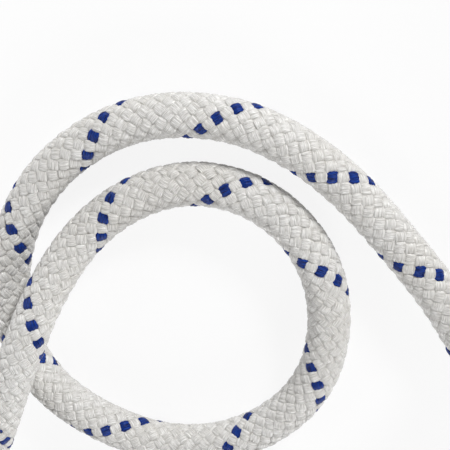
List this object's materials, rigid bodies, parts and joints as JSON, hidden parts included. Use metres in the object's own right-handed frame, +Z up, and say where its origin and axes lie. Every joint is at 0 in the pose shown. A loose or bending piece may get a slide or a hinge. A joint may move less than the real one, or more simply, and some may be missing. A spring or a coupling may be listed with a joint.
{
  "type": "dynamic climbing rope",
  "caption": "Kernmantle climbing rope: a loose loop lying flat, and the rest of its length in a hank held by a strap.",
  "frame": {"origin": "middle of the bounding box, on the surface that the rope lies on", "axes": "+X from the loose tail towards the hank and along it, +Z up, away from the surface"},
  "size_m": [0.3608, 0.1224, 0.052],
  "materials": {
    "sheath_yarn": "glossy woven polyamide yarn, white with one dark blue tracer",
    "core_yarn": "undyed laid polyamide yarn",
    "marker_thread": "dyed thread",
    "shrink_sleeve": "shrunk polyolefin tube",
    "fused_end": "melted and set polyamide",
    "strap_webbing": "woven black webbing",
    "keeper_plastic": "moulded acetal"
  },
  "bodies": {
    "root": {"sheath_loop": "sheath_yarn", "sheath_hank": "sheath_yarn", "core_strand_1": "core_yarn", "core_strand_2": "core_yarn", "core_strand_3": "core_yarn", "core_strand_4": "core_yarn", "core_strand_5": "core_yarn", "core_strand_6": "core_yarn", "core_strand_7": "core_yarn", "core_strand_8": "core_yarn", "core_strand_9": "core_yarn", "core_strand_10": "core_yarn", "core_strand_11": "core_yarn", "core_strand_12": "core_yarn", "core_marker_thread": "marker_thread", "core_hank": "core_yarn", "end_sleeve_tail": "shrink_sleeve", "end_sleeve_hank": "shrink_sleeve", "fused_end_tail": "fused_end", "fused_end_hank": "fused_end", "tie_strap": "strap_webbing", "tie_keeper": "keeper_plastic"}
  },
  "joints": []
}
